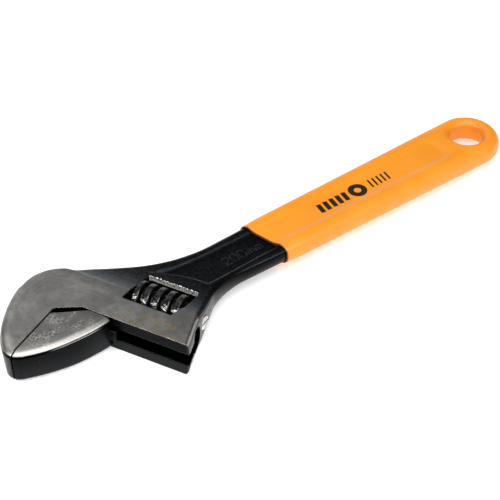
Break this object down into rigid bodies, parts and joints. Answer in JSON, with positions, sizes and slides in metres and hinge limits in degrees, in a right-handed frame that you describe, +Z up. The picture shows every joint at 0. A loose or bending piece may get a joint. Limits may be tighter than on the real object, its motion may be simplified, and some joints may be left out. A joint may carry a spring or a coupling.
{
  "type": "adjustable wrench",
  "caption": "Adjustable wrench with a forged black body, ground steel jaws, knurled worm adjuster and an orange vinyl-covered handle with a hanging hole.",
  "frame": {"origin": "centre of the overall box in plan, on the plane the head rests on", "axes": "+X from the jaws to the hanging hole along the handle, +Y towards the back of the fixed jaw, +Z up through the thickness"},
  "size_m": [0.2036, 0.0586, 0.0127],
  "materials": {
    "forging": "gloss black paint over a forging, with bare ground faces on the head",
    "jaw_steel": "ground flats, black sides",
    "worm_steel": "dark oiled, knurled crests",
    "pin_steel": "turned",
    "spring_steel": "drawn wire",
    "vinyl": "dipped soft vinyl, glossy orange"
  },
  "bodies": {
    "handle": {"body": "forging", "worm_pin": "pin_steel", "worm_spring": "spring_steel", "grip": "vinyl"},
    "jaw": {"movable_jaw": "jaw_steel"},
    "adjuster": {"worm": "worm_steel"}
  },
  "joints": [
    {"name": "jaw_slide", "type": "slide", "parent": "handle", "child": "jaw", "axis": [0.3875, -0.9219, 0], "range_m": [0, 0.0245]},
    {"name": "worm_spin", "type": "hinge", "parent": "handle", "child": "adjuster", "pos_m": [-0.04793, -0.00381, 0.00635], "axis": [0.3875, -0.9219, 0], "range_deg": [-2386, 1]}
  ],
  "couplings": [
    {"joint": "worm_spin", "follows": "jaw_slide", "rad_per_m": -1698.2}
  ]
}
